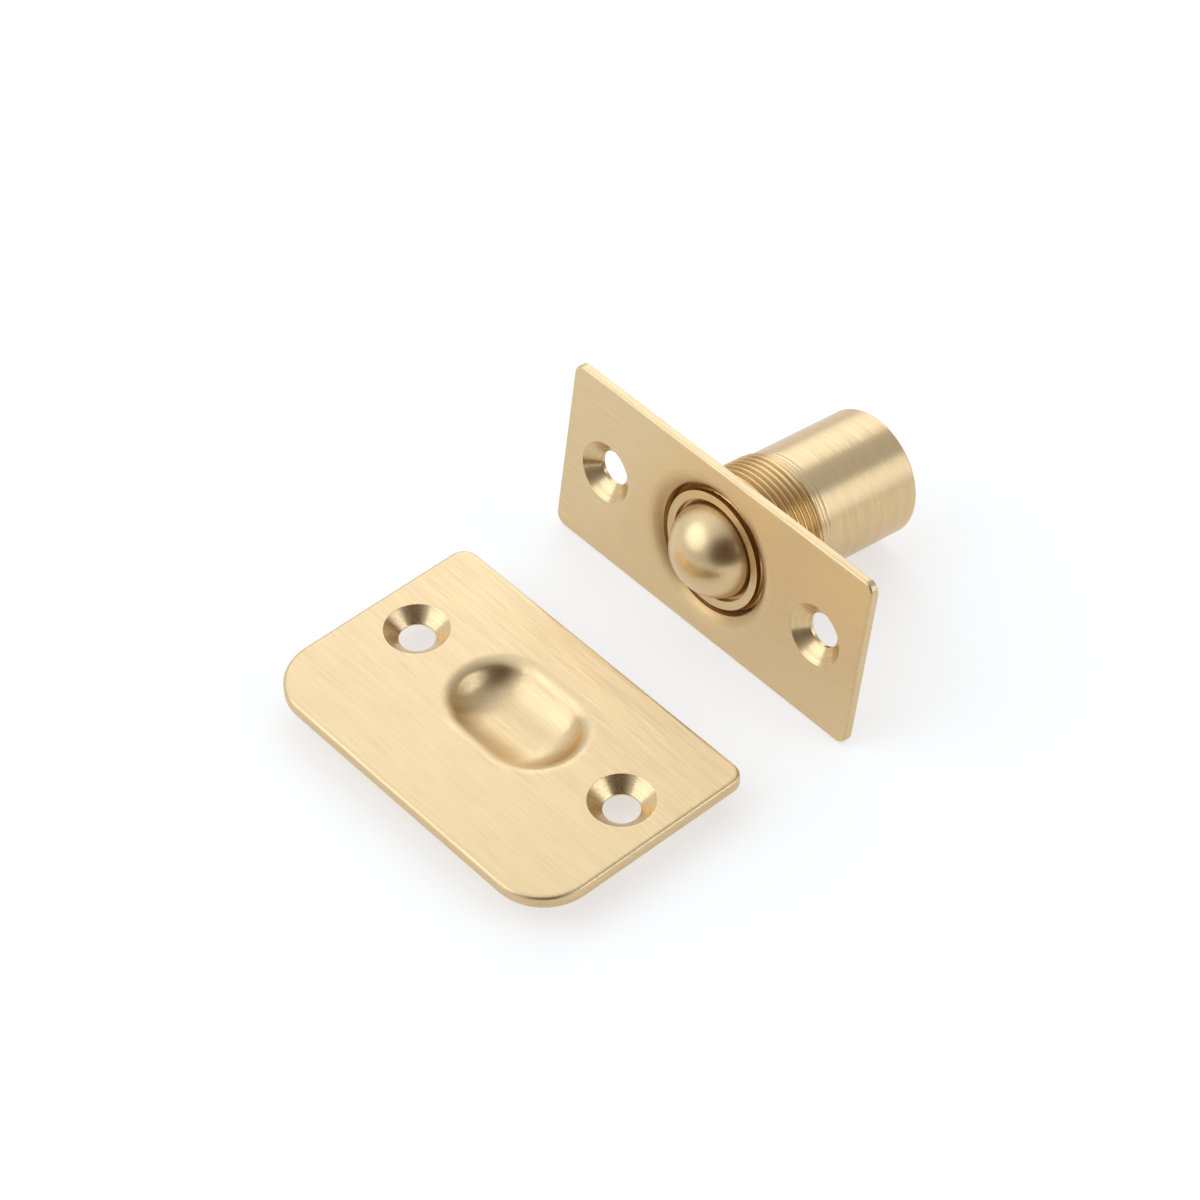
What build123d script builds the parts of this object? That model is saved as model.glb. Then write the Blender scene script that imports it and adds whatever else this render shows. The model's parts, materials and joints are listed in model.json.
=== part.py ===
from build123d import *
import math
import os

# Ball catch set, in millimetres: the catch (a sprung ball in a screwed barrel behind a face plate)
# and its strike plate. Both lie on one surface: the strike plate rests on the foot of its pressed
# hollow, and the catch leans back on its plate's lower edge and on the barrel's rear rim.
# The catch is modelled in its own frame first: Z forward out of the door's edge, X along the face
# plate, Y up the face plate, with the origin at the centre of the plate's front face.

# Face plate
PLATE_LENGTH = 53.2
PLATE_HEIGHT = 25.5
PLATE_THICKNESS = 1.15
PLATE_CORNER_RADIUS = 1.6
PLATE_EDGE_RADIUS = 0.35

# Collar drawn out of the face plate, which carries the barrel's thread, and the dished way into it
DISH_WIDTH = 2.3
DISH_BEND_RADIUS = 3.5
COLLAR_MOUTH_RADIUS = 0.25
COLLAR_WALL = 0.9
COLLAR_DEPTH = 3.6
COLLAR_BEND_RADIUS = 0.6

# Countersunk screw holes, alike in both plates
SCREW_SPACING = 38.0
SCREW_HOLE_DIAMETER = 4.66
COUNTERSINK_DIAMETER = 8.45
COUNTERSINK_ANGLE = 100.0

# Pressed seats behind the face plate's screw holes, which are deeper than its sheet
SCREW_SEAT_DEPTH = 2.1
SCREW_SEAT_WALL = 0.9

# Ball
BALL_DIAMETER = 13.0

# Barrel, whose nose is screwed into the collar
BALL_BORE_CLEARANCE = 0.15
BARREL_WALL = 1.85
BODY_LENGTH = 16.3
NOSE_RISE = 0.325
NOSE_LENGTH = 11.25
NOSE_RECESS = 0.65
NOSE_CHAMFER_WIDTH = 0.3
NOSE_CHAMFER_LENGTH = 0.15
NOSE_COLLAR_CLEARANCE = 0.08
REAR_CHAMFER = 0.3

# Thread on the nose, modelled as rings of its section
THREAD_PITCH = 0.95
THREAD_DEPTH = 0.575
THREAD_CREST = 0.12
THREAD_RUN_IN = 0.65
THREAD_RUN_OUT = 0.1

# Lip turned over at the barrel's mouth, which holds the ball in
LIP_HOLD = 0.1
LIP_BALL_GAP = 0.05
LIP_SETBACK = 0.12
LIP_FLARE_LENGTH = 0.7
MOUTH_CLEARANCE = 0.3

# Seat: a cup that slides in the bore between the ball and the spring
SEAT_BORE_CLEARANCE = 0.15
SEAT_BALL_GAP = 0.1
SEAT_RIM_SETBACK = 3.2
SEAT_FLOOR = 2.2
SEAT_SPIGOT_LENGTH = 2.6
SEAT_CHAMFER = 0.2

# Compression spring with ground ends, centred on a spigot at each end
WIRE_DIAMETER = 1.1
SPRING_TURNS = 7.5
SPRING_BORE_CLEARANCE = 0.7
SPIGOT_CLEARANCE = 0.55

# Rear plug, pressed into a counterbore in the barrel
PLUG_SHOULDER = 0.55
PLUG_THICKNESS = 2.4
PLUG_SETBACK = 0.4
PLUG_CHAMFER = 0.2
PLUG_SPIGOT_LENGTH = 1.6

# Strike plate
STRIKE_LENGTH = 52.15
STRIKE_WIDTH = 33.3
STRIKE_THICKNESS = 1.8
STRIKE_LEAD_CORNER_RADIUS = 7.2
STRIKE_BACK_CORNER_RADIUS = 2.2
STRIKE_TOP_EDGE_RADIUS = 0.5
STRIKE_UNDER_EDGE_RADIUS = 0.3
STRIKE_HOLE_LINE_OFFSET = 2.7

# Obround bowl pressed through the strike plate, whose sheet keeps its thickness
HOLLOW_RIM_RADIUS = 7.7
HOLLOW_STRAIGHT = 6.2
HOLLOW_DEPTH = 3.35
HOLLOW_FLAT_WIDTH = 1.0
FOOT_ROOT_RADIUS = 0.9

# How the two pieces lie beside each other
PIECE_GAP = 14.57
CATCH_SIDE_SHIFT = 1.07

# Radii that follow from the sizes above
BALL_RADIUS = BALL_DIAMETER / 2
BORE_RADIUS = BALL_RADIUS + BALL_BORE_CLEARANCE
BODY_RADIUS = BORE_RADIUS + BARREL_WALL
NOSE_RADIUS = BODY_RADIUS + NOSE_RISE
THREAD_ROOT_RADIUS = NOSE_RADIUS - THREAD_DEPTH
LIP_RADIUS = BALL_RADIUS - LIP_HOLD
MOUTH_RADIUS = BALL_RADIUS + MOUTH_CLEARANCE
COLLAR_BORE_RADIUS = NOSE_RADIUS + NOSE_COLLAR_CLEARANCE
COLLAR_RADIUS = COLLAR_BORE_RADIUS + COLLAR_WALL
DISH_RIM_RADIUS = COLLAR_BORE_RADIUS + DISH_WIDTH
SEAT_RADIUS = BORE_RADIUS - SEAT_BORE_CLEARANCE
PLUG_RADIUS = BORE_RADIUS + PLUG_SHOULDER
COIL_RADIUS = BORE_RADIUS - SPRING_BORE_CLEARANCE - WIRE_DIAMETER / 2
SPIGOT_RADIUS = COIL_RADIUS - WIRE_DIAMETER / 2 - SPIGOT_CLEARANCE

# The hollow's wall leaves the sheet and runs into the floor on two arcs of one angle
HOLLOW_FLAT = HOLLOW_FLAT_WIDTH / 2
HOLLOW_WALL_TURN = 2 * math.atan(HOLLOW_DEPTH / (HOLLOW_RIM_RADIUS - HOLLOW_FLAT))
HOLLOW_LIP_RADIUS = FOOT_ROOT_RADIUS + STRIKE_THICKNESS
HOLLOW_BOWL_RADIUS = HOLLOW_DEPTH / (1 - math.cos(HOLLOW_WALL_TURN)) - HOLLOW_LIP_RADIUS
FOOT_BOWL_RADIUS = HOLLOW_BOWL_RADIUS + STRIKE_THICKNESS

# Heights along the catch's own axis
NOSE_Z = -NOSE_RECESS
THREAD_Z = NOSE_Z - THREAD_RUN_IN
STEP_Z = NOSE_Z - NOSE_LENGTH
REAR_Z = STEP_Z - BODY_LENGTH
LIP_Z = NOSE_Z - LIP_SETBACK
FLARE_Z = LIP_Z - LIP_FLARE_LENGTH
BALL_Z = LIP_Z - math.sqrt((BALL_RADIUS + LIP_BALL_GAP) ** 2 - LIP_RADIUS**2)
SEAT_RIM_Z = BALL_Z - SEAT_RIM_SETBACK
SEAT_END_Z = BALL_Z - BALL_RADIUS - SEAT_BALL_GAP - SEAT_FLOOR
SEAT_SHOULDER_Z = SEAT_END_Z + SEAT_SPIGOT_LENGTH
PLUG_BACK_Z = REAR_Z + PLUG_SETBACK
PLUG_FRONT_Z = PLUG_BACK_Z + PLUG_THICKNESS

# The catch leans back until its plate's lower rear edge and its barrel's rear rim share a surface
LEAN_RISE = PLATE_HEIGHT / 2 - BODY_RADIUS
LEAN_RUN = -(REAR_Z + REAR_CHAMFER) - PLATE_THICKNESS
LEAN_ANGLE = math.degrees(math.atan2(LEAN_RISE, LEAN_RUN))


def turned(points):
    """Solid turned about Z from a closed outline of (radius, height) points."""
    outline = make_face(Polyline(*points, close=True).edges())
    return revolve(Plane.XZ * outline, Axis.Z)


def countersink_cone(top_z, through):
    """Cutter for one countersunk hole whose rim is at top_z and which runs through downwards."""
    rim = COUNTERSINK_DIAMETER / 2
    hole = SCREW_HOLE_DIAMETER / 2
    cone_depth = (rim - hole) / math.tan(math.radians(COUNTERSINK_ANGLE / 2))
    return turned(
        [
            (0, top_z),
            (rim, top_z),
            (hole, top_z - cone_depth),
            (hole, top_z - through),
            (0, top_z - through),
        ]
    )


def screw_places():
    """The two screw holes' places along a plate's length."""
    return [-SCREW_SPACING / 2, SCREW_SPACING / 2]


def make_screw_seat():
    """Raised back of one pressed countersink, behind the face plate's sheet."""
    slope = math.tan(math.radians(COUNTERSINK_ANGLE / 2))
    wall_across = SCREW_SEAT_WALL / math.cos(math.radians(COUNTERSINK_ANGLE / 2))
    root = COUNTERSINK_DIAMETER / 2 - PLATE_THICKNESS * slope + wall_across
    end = COUNTERSINK_DIAMETER / 2 - SCREW_SEAT_DEPTH * slope + wall_across
    inside_sheet = -PLATE_THICKNESS / 2
    return turned(
        [
            (0, inside_sheet),
            (root, inside_sheet),
            (root, -PLATE_THICKNESS),
            (end, -SCREW_SEAT_DEPTH),
            (0, -SCREW_SEAT_DEPTH),
        ]
    )


def make_dish():
    """Cutter for the dished way from the face plate's front into the collar's bore."""
    turn = math.asin(DISH_WIDTH / DISH_BEND_RADIUS)

    def on_bend(angle):
        return DISH_RIM_RADIUS - DISH_BEND_RADIUS * math.sin(angle), DISH_BEND_RADIUS * (math.cos(angle) - 1)

    low = on_bend(turn)
    bend = ThreePointArc(on_bend(0), on_bend(turn / 2), low)
    inside = Polyline(low, (0, low[1]), (0, PLATE_THICKNESS), (DISH_RIM_RADIUS, PLATE_THICKNESS), on_bend(0))
    return revolve(Plane.XZ * make_face((bend + inside).edges()), Axis.Z)


def make_face_plate():
    """Thin plate with a soft front edge, a drawn collar for the barrel and two pressed countersinks."""
    outline = RectangleRounded(PLATE_LENGTH, PLATE_HEIGHT, PLATE_CORNER_RADIUS)
    plate = extrude(outline, -PLATE_THICKNESS)
    plate = fillet(plate.edges().group_by(Axis.Z)[-1], PLATE_EDGE_RADIUS)
    collar_length = COLLAR_DEPTH - PLATE_THICKNESS / 2
    collar = Cylinder(COLLAR_RADIUS, collar_length, align=(Align.CENTER, Align.CENTER, Align.MIN))
    plate += Pos(0, 0, -COLLAR_DEPTH) * collar
    bend = [e for e in plate.edges().filter_by(GeomType.CIRCLE) if is_collar_root(e)]
    plate = fillet(bend, COLLAR_BEND_RADIUS)
    for x in screw_places():
        plate += Pos(x, 0, 0) * make_screw_seat()
    bore = Cylinder(COLLAR_BORE_RADIUS, 2 * COLLAR_DEPTH + PLATE_THICKNESS)
    plate -= bore
    plate -= make_dish()
    mouth = [e for e in plate.edges().filter_by(GeomType.CIRCLE) if is_collar_mouth(e)]
    plate = fillet(mouth, COLLAR_MOUTH_RADIUS)
    for x in screw_places():
        plate -= Pos(x, 0, 0) * countersink_cone(0, SCREW_SEAT_DEPTH + PLATE_THICKNESS)
    return plate


def is_collar_root(edge):
    """Whether a round edge is where the collar leaves the back of the plate."""
    return abs(edge.radius - COLLAR_RADIUS) < 0.01 and abs(edge.center().Z + PLATE_THICKNESS) < 0.01


def is_collar_mouth(edge):
    """Whether a round edge is the collar's mouth at the foot of the dish."""
    return abs(edge.radius - COLLAR_BORE_RADIUS) < 0.01 and edge.center().Z > 0.01 - COLLAR_DEPTH


def thread_rings():
    """Outline of as many rings as the nose has room for, as (radius, height) points."""
    flank = (THREAD_PITCH - THREAD_CREST) / 2
    room = NOSE_LENGTH - THREAD_RUN_IN - THREAD_RUN_OUT
    points = [(THREAD_ROOT_RADIUS, THREAD_Z)]
    for ring in range(math.floor(room / THREAD_PITCH)):
        z = THREAD_Z - ring * THREAD_PITCH
        points.append((NOSE_RADIUS, z - flank))
        points.append((NOSE_RADIUS, z - flank - THREAD_CREST))
        points.append((THREAD_ROOT_RADIUS, z - THREAD_PITCH))
    return points


def make_barrel():
    """Turned barrel: screwed nose with the lip that holds the ball, plain body, counterbored rear."""
    return turned(
        [
            (MOUTH_RADIUS, NOSE_Z),
            (THREAD_ROOT_RADIUS - NOSE_CHAMFER_WIDTH, NOSE_Z),
            (THREAD_ROOT_RADIUS, NOSE_Z - NOSE_CHAMFER_LENGTH),
            *thread_rings(),
            (BODY_RADIUS, STEP_Z),
            (BODY_RADIUS, REAR_Z + REAR_CHAMFER),
            (BODY_RADIUS - REAR_CHAMFER, REAR_Z),
            (PLUG_RADIUS + PLUG_CHAMFER, REAR_Z),
            (PLUG_RADIUS, REAR_Z + PLUG_CHAMFER),
            (PLUG_RADIUS, PLUG_FRONT_Z),
            (BORE_RADIUS, PLUG_FRONT_Z),
            (BORE_RADIUS, FLARE_Z),
            (LIP_RADIUS, LIP_Z),
        ]
    )


def make_ball():
    """Ball at rest against the barrel's lip."""
    return Pos(0, 0, BALL_Z) * Sphere(BALL_RADIUS)


def make_ball_seat():
    """Cup behind the ball, with a spigot that centres the spring."""
    body = turned(
        [
            (0, SEAT_RIM_Z),
            (SEAT_RADIUS, SEAT_RIM_Z),
            (SEAT_RADIUS, SEAT_SHOULDER_Z + SEAT_CHAMFER),
            (SEAT_RADIUS - SEAT_CHAMFER, SEAT_SHOULDER_Z),
            (SPIGOT_RADIUS, SEAT_SHOULDER_Z),
            (SPIGOT_RADIUS, SEAT_END_Z + SEAT_CHAMFER),
            (SPIGOT_RADIUS - SEAT_CHAMFER, SEAT_END_Z),
            (0, SEAT_END_Z),
        ]
    )
    return body - Pos(0, 0, BALL_Z) * Sphere(BALL_RADIUS + SEAT_BALL_GAP)


def make_rear_plug():
    """Disc that closes the barrel, with a spigot that centres the spring."""
    end_z = PLUG_FRONT_Z + PLUG_SPIGOT_LENGTH
    return turned(
        [
            (0, end_z),
            (SPIGOT_RADIUS - PLUG_CHAMFER, end_z),
            (SPIGOT_RADIUS, end_z - PLUG_CHAMFER),
            (SPIGOT_RADIUS, PLUG_FRONT_Z),
            (PLUG_RADIUS, PLUG_FRONT_Z),
            (PLUG_RADIUS, PLUG_BACK_Z + PLUG_CHAMFER),
            (PLUG_RADIUS - PLUG_CHAMFER, PLUG_BACK_Z),
            (0, PLUG_BACK_Z),
        ]
    )


def make_spring():
    """Helical spring from the plug's face to the seat's shoulder, ground flat at both ends."""
    length = SEAT_SHOULDER_Z - PLUG_FRONT_Z
    path = Helix(length / SPRING_TURNS, length, COIL_RADIUS)
    section = Plane(origin=path @ 0, z_dir=path % 0) * Circle(WIRE_DIAMETER / 2)
    coil = sweep(section, path=path)
    between_ends = Cylinder(BORE_RADIUS, length, align=(Align.CENTER, Align.CENTER, Align.MIN))
    return Pos(0, 0, PLUG_FRONT_Z) * (coil & between_ends)


def pressed_form(lip_radius, bowl_radius):
    """Solid of the pressed obround hollow, downwards from Z = 0, with an S-shaped wall.

    The wall leaves the sheet on lip_radius and runs into the narrow flat floor on bowl_radius. It
    is turned at both ends and straight between them.
    """
    turn = HOLLOW_WALL_TURN

    def on_lip(angle):
        return HOLLOW_RIM_RADIUS - lip_radius * math.sin(angle), lip_radius * (math.cos(angle) - 1)

    def on_bowl(angle):
        return HOLLOW_FLAT + bowl_radius * math.sin(angle), bowl_radius * (1 - math.cos(angle)) - HOLLOW_DEPTH

    wall = ThreePointArc(on_lip(0), on_lip(turn / 2), on_lip(turn))
    wall += ThreePointArc(on_bowl(turn), on_bowl(turn / 2), on_bowl(0))
    inside = Polyline(on_bowl(0), (0, -HOLLOW_DEPTH), (0, 0), on_lip(0))
    half = make_face((wall + inside).edges())
    end = revolve(Plane.XZ * half, Axis.Z)
    side = extrude(Plane.YZ * half, HOLLOW_STRAIGHT / 2, both=True)
    form = side + mirror(side, Plane.XZ)
    for x in (-HOLLOW_STRAIGHT / 2, HOLLOW_STRAIGHT / 2):
        form += Pos(x, 0, 0) * end
    return form


def make_strike_plate():
    """Plate with large corners on its leading side and a hollow pressed through it for the ball."""
    outline = Rectangle(STRIKE_LENGTH, STRIKE_WIDTH)
    outline = fillet(outline.vertices().group_by(Axis.Y)[0], STRIKE_LEAD_CORNER_RADIUS)
    outline = fillet(outline.vertices().group_by(Axis.Y)[-1], STRIKE_BACK_CORNER_RADIUS)
    top_z = HOLLOW_DEPTH + STRIKE_THICKNESS
    plate = Pos(0, 0, HOLLOW_DEPTH) * extrude(outline, STRIKE_THICKNESS)
    plate = fillet(plate.edges().group_by(Axis.Z)[-1], STRIKE_TOP_EDGE_RADIUS)
    plate = fillet(plate.edges().group_by(Axis.Z)[0], STRIKE_UNDER_EDGE_RADIUS)
    foot = pressed_form(FOOT_ROOT_RADIUS, FOOT_BOWL_RADIUS)
    hollow = pressed_form(HOLLOW_LIP_RADIUS, HOLLOW_BOWL_RADIUS)
    plate += Pos(0, STRIKE_HOLE_LINE_OFFSET, HOLLOW_DEPTH) * foot
    plate -= Pos(0, STRIKE_HOLE_LINE_OFFSET, top_z) * hollow
    for x in screw_places():
        plate -= Pos(x, STRIKE_HOLE_LINE_OFFSET, 0) * countersink_cone(top_z, 2 * STRIKE_THICKNESS)
    return plate


def catch_location():
    """Where the catch's own frame lies beside the strike plate."""
    lean = math.radians(LEAN_ANGLE)
    rise = PLATE_HEIGHT / 2 * math.cos(lean) + PLATE_THICKNESS * math.sin(lean)
    run = STRIKE_WIDTH / 2 + PIECE_GAP + PLATE_HEIGHT / 2 * math.sin(lean)
    return Pos(CATCH_SIDE_SHIFT, run, rise) * Rot(90 - LEAN_ANGLE, 0, 0)


in_catch = catch_location()
pieces = {
    "strike_plate": make_strike_plate(),
    "face_plate": in_catch * make_face_plate(),
    "barrel": in_catch * make_barrel(),
    "ball": in_catch * make_ball(),
    "ball_seat": in_catch * make_ball_seat(),
    "spring": in_catch * make_spring(),
    "rear_plug": in_catch * make_rear_plug(),
}

# The origin is at the middle of the whole set's floor area, on the surface that it lies on
outermost = [pieces[name].bounding_box() for name in ("strike_plate", "face_plate", "barrel")]
middle_x = (min(b.min.X for b in outermost) + max(b.max.X for b in outermost)) / 2
middle_y = (min(b.min.Y for b in outermost) + max(b.max.Y for b in outermost)) / 2
TO_ORIGIN = Pos(-middle_x, -middle_y, 0)

os.makedirs("parts", exist_ok=True)
for name, piece in pieces.items():
    export_step(TO_ORIGIN * piece, f"parts/{name}.step")
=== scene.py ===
"""Looks of a brass ball catch and its strike plate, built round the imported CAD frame.

Sizes are in millimetres in each piece's class. A piece is drawn in its own frame, with Z out of
its front face, and becomes metres in the row frame when its mesh is placed.
"""

import json
import logging
import math
from dataclasses import dataclass, replace
from enum import Enum
from typing import Callable, Iterable

import bmesh
import bpy
from bmesh.types import BMEdge, BMesh, BMFace, BMVert
from bpy.types import ID, Material, Mesh, Node, NodeSocket, NodeTree, Object
from mathutils import Matrix, Vector

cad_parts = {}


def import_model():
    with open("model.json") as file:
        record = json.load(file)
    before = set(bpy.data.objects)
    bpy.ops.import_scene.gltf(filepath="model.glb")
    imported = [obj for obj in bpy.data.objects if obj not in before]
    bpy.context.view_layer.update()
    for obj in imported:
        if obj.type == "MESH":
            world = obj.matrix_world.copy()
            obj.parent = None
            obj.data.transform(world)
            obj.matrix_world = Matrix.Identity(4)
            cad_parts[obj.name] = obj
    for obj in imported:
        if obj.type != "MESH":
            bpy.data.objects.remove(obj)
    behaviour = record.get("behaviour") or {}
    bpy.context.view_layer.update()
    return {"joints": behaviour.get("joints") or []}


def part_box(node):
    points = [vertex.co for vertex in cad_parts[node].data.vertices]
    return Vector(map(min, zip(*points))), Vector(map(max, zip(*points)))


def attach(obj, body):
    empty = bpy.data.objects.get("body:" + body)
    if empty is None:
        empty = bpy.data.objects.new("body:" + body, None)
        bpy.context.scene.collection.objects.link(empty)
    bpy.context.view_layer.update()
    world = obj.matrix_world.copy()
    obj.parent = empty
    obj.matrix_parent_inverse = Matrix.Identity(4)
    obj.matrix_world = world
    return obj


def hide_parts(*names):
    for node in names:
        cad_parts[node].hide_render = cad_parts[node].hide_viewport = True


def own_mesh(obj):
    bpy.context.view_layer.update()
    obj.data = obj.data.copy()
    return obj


Pair = tuple[float, float]
Triple = tuple[float, float, float]

LOG = logging.getLogger("ball_catch")
MM = 0.001
ROUND_STEPS = 96
HOLE_STEPS = 64
WELD = 1e-4
CUT_TOLERANCE = 1e-5
SHARP_ANGLE = math.radians(38.0)
Z_AXIS = (0.0, 0.0, 1.0)
ORIGIN = (0.0, 0.0, 0.0)

# Depths behind the face plate's front at which the pieces of the catch meet
BALL_CENTRE = 2.1637
SEAT_SHOULDER = 8.3637
BARREL_STEP = 11.9
PLUG_FRONT = 25.4


# Drawing with bmesh operators


def picked(geom: Iterable, kind: type) -> list:
    """The parts of an operator's result that are of one kind."""
    return [g for g in geom if isinstance(g, kind)]


def spin(
    bm: BMesh,
    geom: list,
    angle: float,
    steps: int,
    centre: Triple = ORIGIN,
    axis: Triple = Z_AXIS,
    rise: float = 0.0,
    merge: bool = False,
) -> list:
    """Spins vertices into edges and edges into faces.

    Args:
        bm: The mesh.
        geom: What is spun.
        angle: How far it is spun in all.
        steps: In how many steps.
        centre: A point on the axis.
        axis: The way of the axis.
        rise: How far each step moves up as well.
        merge: Whether a full turn is closed.

    Returns:
        What the last step made.
    """
    made = bmesh.ops.spin(
        bm,
        geom=geom,
        cent=centre,
        axis=axis,
        dvec=(0.0, 0.0, rise),
        angle=angle,
        steps=steps,
        use_merge=merge,
    )
    return made["geom_last"]


def soften(bm: BMesh, geom: list, radius: float, segments: int, affect: str) -> None:
    """Rounds vertices or edges, as affect says, with a number of segments."""
    bmesh.ops.bevel(
        bm,
        geom=geom,
        offset=radius,
        offset_type="OFFSET",
        segments=segments,
        profile=0.5,
        affect=affect,
        material=-1,
    )


def slice_at(bm: BMesh, height: float, outwards: float = 0.0) -> list:
    """Cuts a mesh at a height.

    Args:
        bm: The mesh.
        height: Height of the cut.
        outwards: 1 to clear what is above it, -1 to clear what is below it, 0 to keep both.

    Returns:
        The edges in the cut.
    """
    cut = bmesh.ops.bisect_plane(
        bm,
        geom=[*bm.verts, *bm.edges, *bm.faces],
        dist=CUT_TOLERANCE,
        plane_co=(0.0, 0.0, height),
        plane_no=(0.0, 0.0, outwards or 1.0),
        clear_outer=outwards != 0.0,
    )
    return picked(cut["geom_cut"], BMEdge)


class Outline:
    """A line of vertices in the plane of radius (X) and height (Z), to be spun round Z."""

    def __init__(self, bm: BMesh, radius: float, height: float) -> None:
        """Starts the line at one point.

        Args:
            bm: The mesh that the line is drawn in.
            radius: The first point's distance from the Z axis.
            height: The first point's height.
        """
        self.bm = bm
        self.verts = list(bmesh.ops.create_vert(bm, co=(radius, 0.0, height))["vert"])

    def line(self, radius: float, height: float, hold: float = 0.0) -> None:
        """Draws a straight run to a point.

        Args:
            radius: The point's distance from the Z axis.
            height: The point's height.
            hold: How far from each end one more vertex holds the shading, or 0 for none.
        """
        start = self.verts[-1].co.copy()
        end = Vector((radius, 0.0, height))
        length = (end - start).length
        held = hold > 0.0 and length >= 3.0 * hold
        shares = [hold / length, 1.0 - hold / length, 1.0] if held else [1.0]
        for share in shares:
            made = bmesh.ops.extrude_vert_indiv(self.bm, verts=[self.verts[-1]])["verts"][0]
            made.co = start.lerp(end, share)
            self.verts.append(made)

    def lines(self, *points: tuple[float, ...]) -> None:
        """Draws straight runs to points, each given as its radius, its height and its hold."""
        for point in points:
            self.line(*point)

    def arc(self, radius: float, height: float, degrees: float, steps: int) -> None:
        """Draws an arc round a centre, from outwards towards upwards where degrees is positive.

        Args:
            radius: The centre's distance from the Z axis.
            height: The centre's height.
            degrees: How far the arc turns.
            steps: How many straight runs make the arc.
        """
        known = len(self.bm.verts)
        angle = math.radians(degrees)
        spin(self.bm, [self.verts[-1]], angle, steps, (radius, 0.0, height), (0.0, -1.0, 0.0))
        self.bm.verts.ensure_lookup_table()
        self.verts += self.bm.verts[known:]

    def geometry(self) -> list:
        """The line's vertices and the edges between them."""
        own = set(self.verts)
        edges = {e for v in self.verts for e in v.link_edges if own.issuperset(e.verts)}
        return [*self.verts, *edges]

    def spin_round(self, steps: int, material: int = 0) -> None:
        """Spins the line once round Z, and gives its mesh's faces a material's number."""
        spin(self.bm, self.geometry(), math.tau, steps, merge=True)
        for face in self.bm.faces:
            face.material_index = material

    def spin_obround(self, straight: float) -> None:
        """Spins the line into an obround that is longer along X.

        Args:
            straight: Length of the straight middle.
        """
        half = straight / 2.0
        place = Matrix.Translation((half, 0.0, 0.0)) @ Matrix.Rotation(-math.pi / 2.0, 4, "Z")
        bmesh.ops.transform(self.bm, matrix=place, verts=self.verts)
        section = self.geometry()
        for centre in (half, -half):
            last = picked(spin(self.bm, section, math.pi, ROUND_STEPS // 2, (centre, 0.0, 0.0)), BMEdge)
            drawn = bmesh.ops.extrude_edge_only(self.bm, edges=last)["geom"]
            moved = picked(drawn, BMVert)
            bmesh.ops.translate(self.bm, vec=(-2.0 * centre, 0.0, 0.0), verts=moved)
            section = moved + picked(drawn, BMEdge)
        bmesh.ops.remove_doubles(self.bm, verts=self.bm.verts, dist=WELD)


def boundary_at(bm: BMesh, height: float) -> list:
    """The open edges that lie at one height."""
    return [
        e
        for e in bm.edges
        if len(e.link_faces) < 2 and all(abs(v.co.z - height) < WELD for v in e.verts)
    ]


def fill_sheet(bm: BMesh, height: float, hold: float = 0.25) -> None:
    """Fills the open loops at one height with a flat face round its holes.

    Args:
        bm: The mesh whose loops are filled.
        height: The height at which the loops lie.
        hold: Width of the narrow band that keeps the flat face's shading off its edges.
    """
    filled = bmesh.ops.triangle_fill(
        bm, use_beauty=True, use_dissolve=False, edges=boundary_at(bm, height), normal=Z_AXIS
    )
    faces = picked(filled["geom"], BMFace)
    bmesh.ops.inset_region(bm, faces=faces, thickness=hold, use_even_offset=True, use_boundary=True)


def to_data(name: str, bm: BMesh) -> Mesh:
    """Makes a mesh of what is drawn, and frees the drawing."""
    data = bpy.data.meshes.new(name)
    bm.to_mesh(data)
    bm.free()
    return data


def new_object(name: str, data: ID) -> Object:
    """Puts an object into the scene, at the origin."""
    obj = bpy.data.objects.new(name, data)
    bpy.context.scene.collection.objects.link(obj)
    return obj


def join_into(bm: BMesh, part: BMesh, place: Matrix) -> None:
    """Adds another mesh's geometry at a place and frees it.

    Args:
        bm: The mesh that is added to.
        part: The mesh that is added.
        place: Where the added mesh goes.
    """
    bmesh.ops.transform(part, matrix=place, verts=part.verts)
    carrier = to_data("carrier", part)
    bm.from_mesh(carrier)
    bpy.data.meshes.remove(carrier)


def rounded_blank(
    length: float,
    width: float,
    low: float,
    high: float,
    corners: Callable[[Vector], float],
    edges: Pair,
) -> BMesh:
    """Makes a plate's rim: rounded corners, rolled edges and no flat faces yet.

    Args:
        length: Size along X.
        width: Size along Y.
        low: Height of the back face.
        high: Height of the front face.
        corners: Gives a corner's radius from where the corner is.
        edges: Radius of the back edge and of the front edge.

    Returns:
        A mesh that is open at its back and its front.
    """
    corner_steps, edge_steps = 12, 5
    bm = bmesh.new()
    bmesh.ops.create_grid(bm, x_segments=1, y_segments=1, size=0.5)
    bmesh.ops.scale(bm, vec=(length, width, 1.0), verts=bm.verts)
    bmesh.ops.translate(bm, vec=(0.0, 0.0, low), verts=bm.verts)
    for corner in list(bm.verts):
        soften(bm, [corner], corners(corner.co.copy()), corner_steps, "VERTICES")
    raised = bmesh.ops.extrude_face_region(bm, geom=bm.faces[:], use_keep_orig=True)
    bmesh.ops.translate(bm, vec=(0.0, 0.0, high - low), verts=picked(raised["geom"], BMVert))
    bmesh.ops.recalc_face_normals(bm, faces=bm.faces)
    for height, radius in zip((low, high), edges):
        rim = [e for e in bm.edges if all(abs(v.co.z - height) < WELD for v in e.verts)]
        soften(bm, rim, radius, edge_steps, "EDGES")
    flats = [f for f in bm.faces if abs(f.normal.z) > 0.999 and len(f.verts) > corner_steps]
    bmesh.ops.delete(bm, geom=flats, context="FACES_ONLY")
    return bm


# Finishes


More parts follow.
